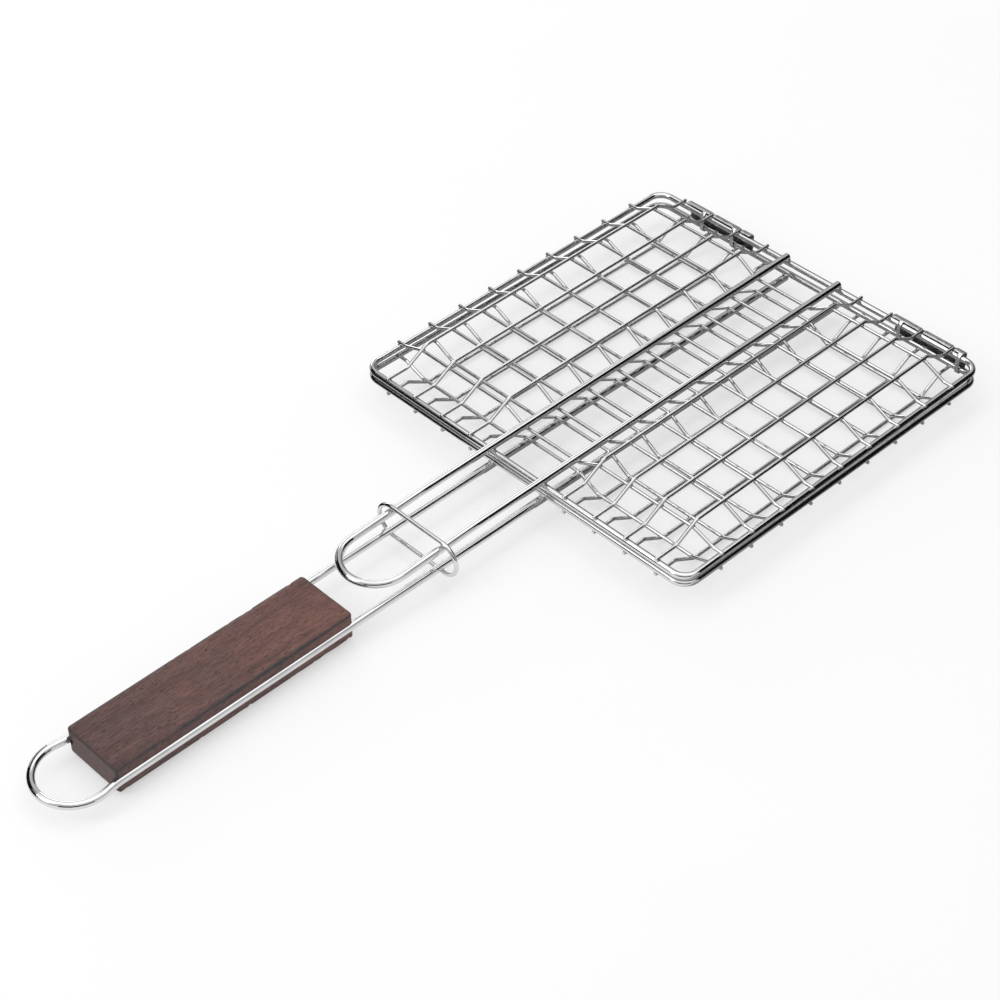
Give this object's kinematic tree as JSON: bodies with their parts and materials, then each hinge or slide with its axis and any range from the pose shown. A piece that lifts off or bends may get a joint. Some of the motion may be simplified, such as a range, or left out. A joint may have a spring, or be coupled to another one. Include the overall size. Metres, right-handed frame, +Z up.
{
  "type": "grill basket",
  "caption": "Flat wire grill basket with two hinged grids, a long handle with a wooden grip, a sliding locking ring and a hanging loop.",
  "frame": {"origin": "middle of the underside of the whole object's bounding box, on the surface it lies on", "axes": "+Y from the hanging loop to the hinge, +X to the right seen from the grip, +Z up"},
  "size_m": [0.25, 0.572, 0.0315],
  "materials": {
    "chromed_wire": "bright chrome plate",
    "clip_sheet": "plated folded sheet, slightly wavy",
    "grip_wood": "dark stained hardwood, satin"
  },
  "bodies": {
    "lower_half": {"lower_rim": "chromed_wire", "lower_lengthwise_wire_1": "chromed_wire", "lower_lengthwise_wire_2": "chromed_wire", "lower_lengthwise_wire_3": "chromed_wire", "lower_lengthwise_wire_4": "chromed_wire", "lower_lengthwise_wire_5": "chromed_wire", "lower_lengthwise_wire_6": "chromed_wire", "lower_lengthwise_wire_7": "chromed_wire", "lower_lengthwise_wire_8": "chromed_wire", "lower_cross_wire_1": "chromed_wire", "lower_cross_wire_2": "chromed_wire", "lower_cross_wire_3": "chromed_wire", "lower_cross_wire_4": "chromed_wire", "lower_cross_wire_5": "chromed_wire", "lower_cross_wire_6": "chromed_wire", "lower_cross_wire_7": "chromed_wire", "lower_cross_wire_8": "chromed_wire", "lower_cross_wire_9": "chromed_wire", "lower_handle_wire": "chromed_wire", "wooden_grip": "grip_wood"},
    "hinge_clips": {"left_hinge_clip": "clip_sheet", "right_hinge_clip": "clip_sheet"},
    "upper_half": {"upper_rim": "chromed_wire", "upper_lengthwise_wire_1": "chromed_wire", "upper_lengthwise_wire_2": "chromed_wire", "upper_lengthwise_wire_3": "chromed_wire", "upper_lengthwise_wire_4": "chromed_wire", "upper_lengthwise_wire_5": "chromed_wire", "upper_lengthwise_wire_6": "chromed_wire", "upper_lengthwise_wire_7": "chromed_wire", "upper_lengthwise_wire_8": "chromed_wire", "upper_cross_wire_1": "chromed_wire", "upper_cross_wire_2": "chromed_wire", "upper_cross_wire_3": "chromed_wire", "upper_cross_wire_4": "chromed_wire", "upper_cross_wire_5": "chromed_wire", "upper_cross_wire_6": "chromed_wire", "upper_cross_wire_7": "chromed_wire", "upper_cross_wire_8": "chromed_wire", "upper_cross_wire_9": "chromed_wire", "upper_handle_wire": "chromed_wire"},
    "locking_ring": {"locking_ring": "chromed_wire"}
  },
  "joints": [
    {"name": "clip_hinge", "type": "hinge", "parent": "lower_half", "child": "hinge_clips", "pos_m": [0, 0.28105, 0.01183], "axis": [-1, 0, 0], "range_deg": [0, 90]},
    {"name": "basket_hinge", "type": "hinge", "parent": "hinge_clips", "child": "upper_half", "pos_m": [0, 0.28105, 0.01943], "axis": [-1, 0, 0], "range_deg": [0, 90]},
    {"name": "ring_slide", "type": "slide", "parent": "lower_half", "child": "locking_ring", "axis": [0, -1, 0], "range_m": [-0.068, 0.059]}
  ]
}
